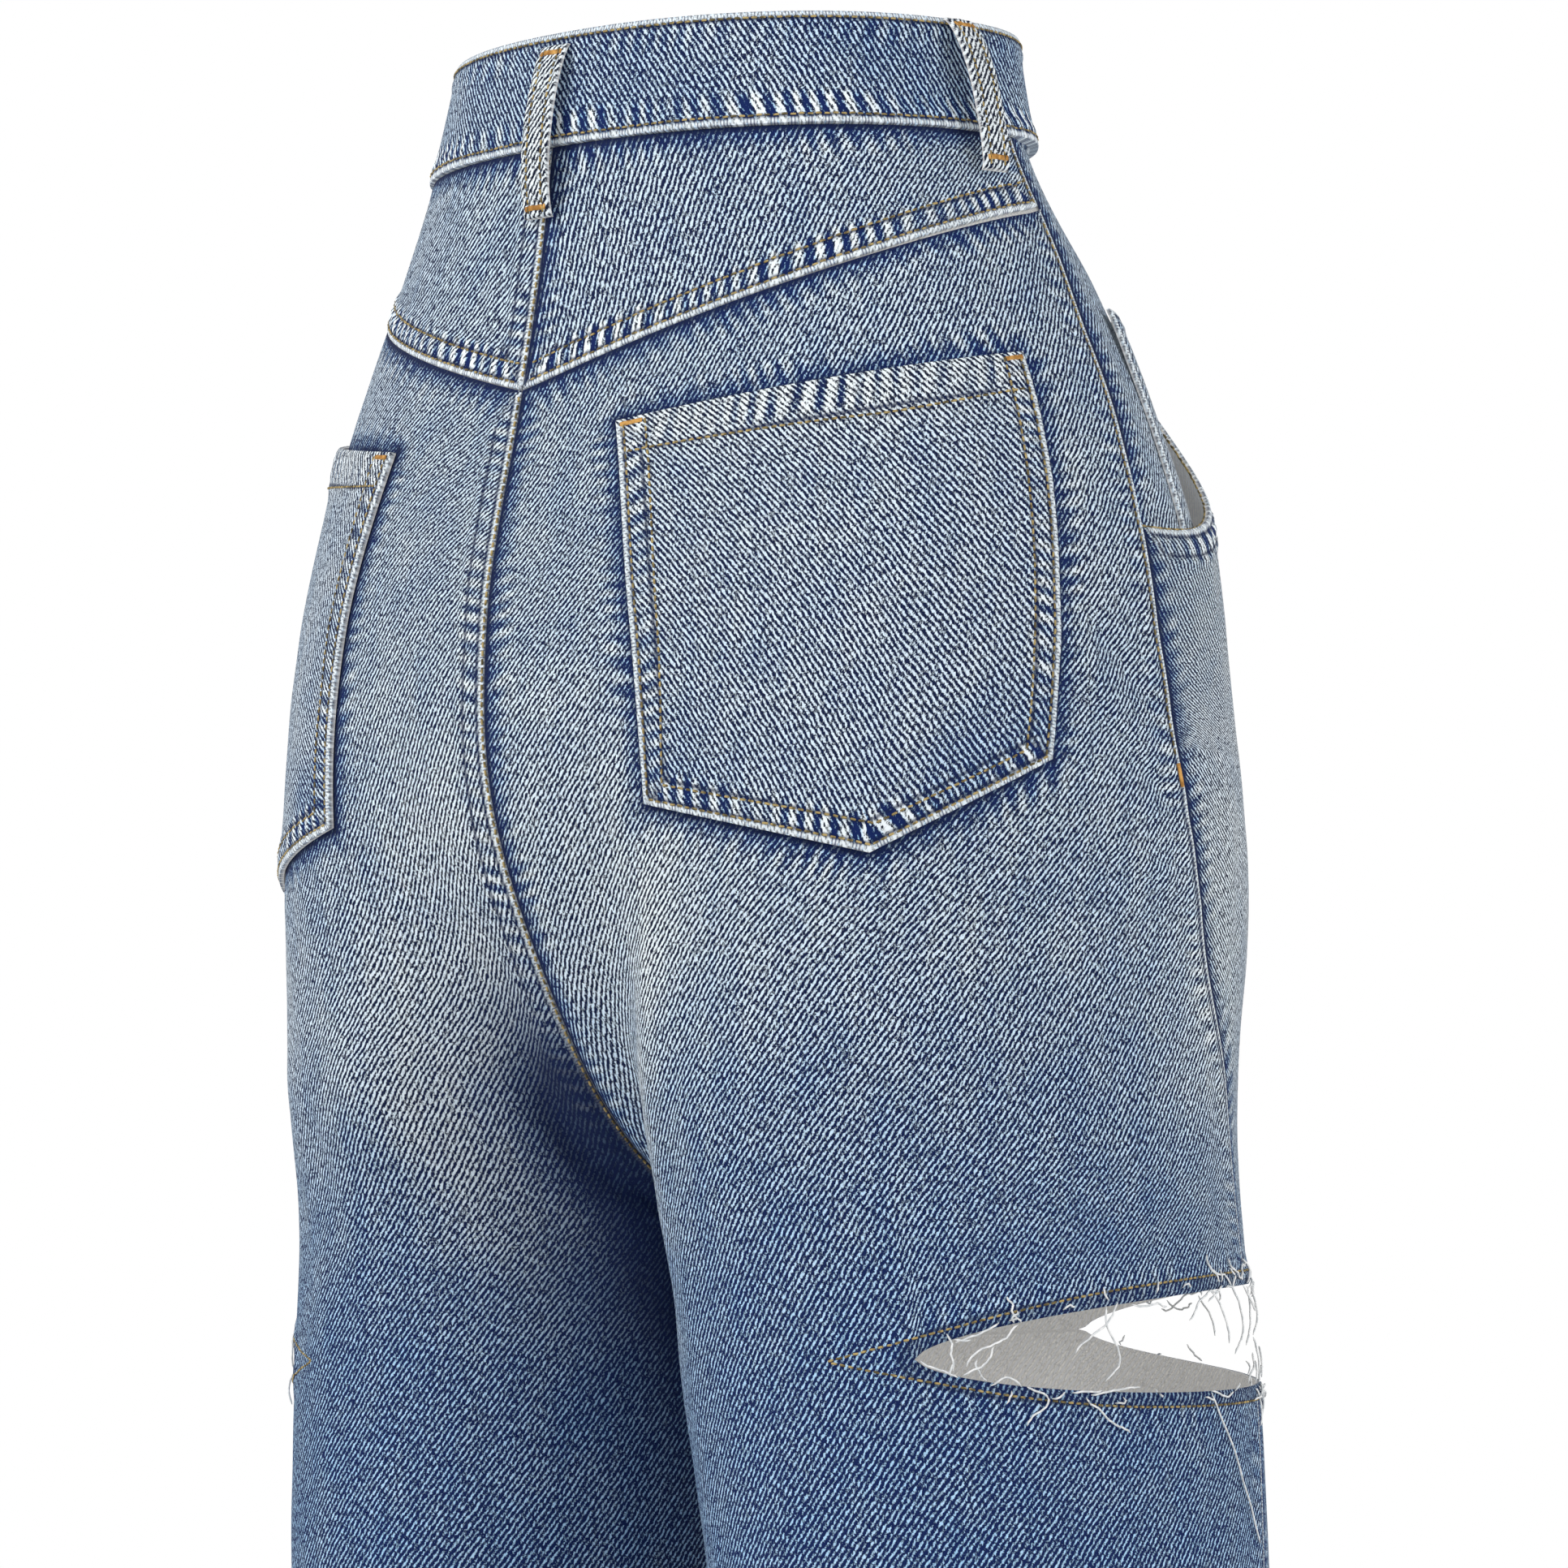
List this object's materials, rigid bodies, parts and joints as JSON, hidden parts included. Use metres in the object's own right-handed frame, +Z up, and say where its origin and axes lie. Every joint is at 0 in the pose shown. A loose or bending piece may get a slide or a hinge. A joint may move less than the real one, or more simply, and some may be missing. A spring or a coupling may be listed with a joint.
{
  "type": "ripped jeans",
  "caption": "High-waisted wide-leg denim jeans in worn, hollow shape, with back patch pockets, belt loops and a frayed slash across each thigh.",
  "frame": {"origin": "centre of the waist, halfway up the waistband, where the wearer's waist holds the jeans up", "axes": "+Z up, the front faces -Y, the wearer's right is -X"},
  "size_m": [0.38, 0.2607, 1.0436],
  "materials": {
    "denim": "washed blue twill, diagonal weave, paler on worn edges and seams",
    "pocket_denim": "the same twill, washed paler",
    "thread": "loose white weft threads and olive-gold topstitching",
    "brass": "dull antique brass"
  },
  "bodies": {
    "root": {"waistband": "denim", "yoke_right": "denim", "yoke_left": "denim", "back_right": "denim", "back_left": "denim", "front_right": "denim", "front_left": "denim", "back_pocket_right": "pocket_denim", "back_pocket_left": "pocket_denim", "pocket_facing_right": "denim", "pocket_facing_left": "denim", "coin_pocket": "pocket_denim", "belt_loop_back": "denim", "belt_loop_back_right": "denim", "belt_loop_back_left": "denim", "belt_loop_front_right": "denim", "belt_loop_front_left": "denim", "fly": "denim", "button": "brass", "fray_right": "thread", "fray_left": "thread"}
  },
  "joints": []
}
